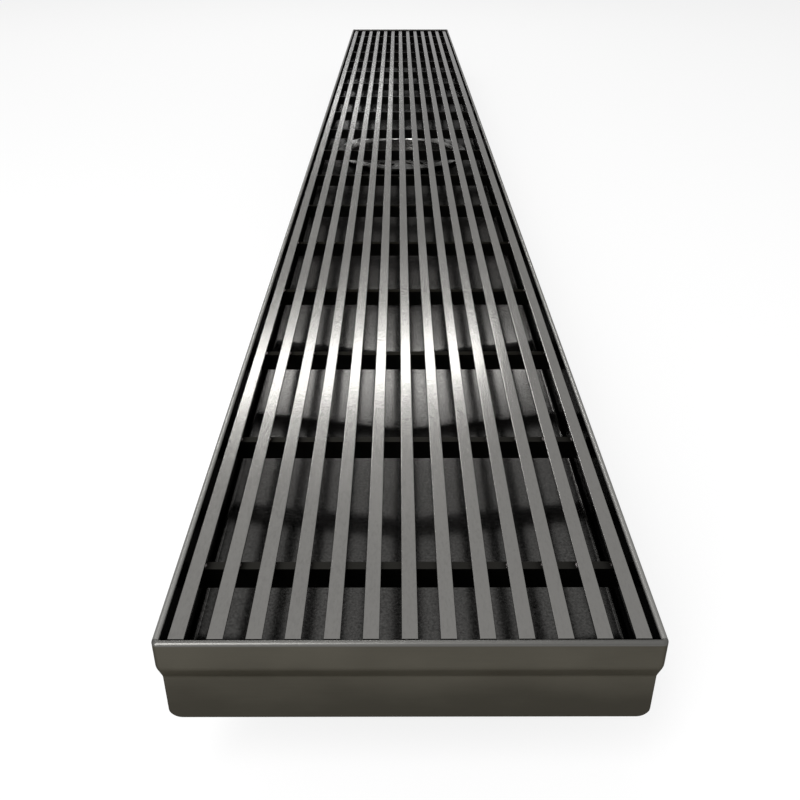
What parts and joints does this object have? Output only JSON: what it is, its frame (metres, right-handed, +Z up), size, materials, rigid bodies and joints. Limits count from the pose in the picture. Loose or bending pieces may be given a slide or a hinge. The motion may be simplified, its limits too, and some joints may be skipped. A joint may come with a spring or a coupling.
{
  "type": "linear shower drain",
  "caption": "Long narrow shower channel with a stepped rim, a shallow V floor, a round strainer in its middle outlet, a spigot below and a drop-in grate of parallel wires.",
  "frame": {"origin": "centre of the spigot's lower rim, below the middle of the channel", "axes": "+Y along the channel, +X across it, +Z up through the grate"},
  "size_m": [0.11, 0.9, 0.049],
  "materials": {
    "tray_steel": "dark satin stainless sheet, brushed along the channel",
    "wire_steel": "stainless wire, ground flat and brushed lengthwise",
    "bar_steel": "plain stainless flat bar",
    "spigot_steel": "stainless tube, satin",
    "strainer_steel": "pressed stainless sheet, semi-bright"
  },
  "bodies": {
    "root": {"channel_tray": "tray_steel", "end_cap_front": "tray_steel", "end_cap_back": "tray_steel", "outlet_spigot": "spigot_steel", "strainer_basket": "strainer_steel", "grate_wire_01": "wire_steel", "grate_wire_02": "wire_steel", "grate_wire_03": "wire_steel", "grate_wire_04": "wire_steel", "grate_wire_05": "wire_steel", "grate_wire_06": "wire_steel", "grate_wire_07": "wire_steel", "grate_wire_08": "wire_steel", "grate_wire_09": "wire_steel", "grate_wire_10": "wire_steel", "grate_wire_11": "wire_steel", "grate_wire_12": "wire_steel", "grate_wire_13": "wire_steel", "cross_bar_01": "bar_steel", "cross_bar_02": "bar_steel", "cross_bar_03": "bar_steel", "cross_bar_04": "bar_steel", "cross_bar_05": "bar_steel", "cross_bar_06": "bar_steel", "cross_bar_07": "bar_steel", "cross_bar_08": "bar_steel", "cross_bar_09": "bar_steel", "cross_bar_10": "bar_steel", "cross_bar_11": "bar_steel", "cross_bar_12": "bar_steel", "cross_bar_13": "bar_steel", "cross_bar_14": "bar_steel", "cross_bar_15": "bar_steel", "cross_bar_16": "bar_steel", "cross_bar_17": "bar_steel"}
  },
  "joints": []
}
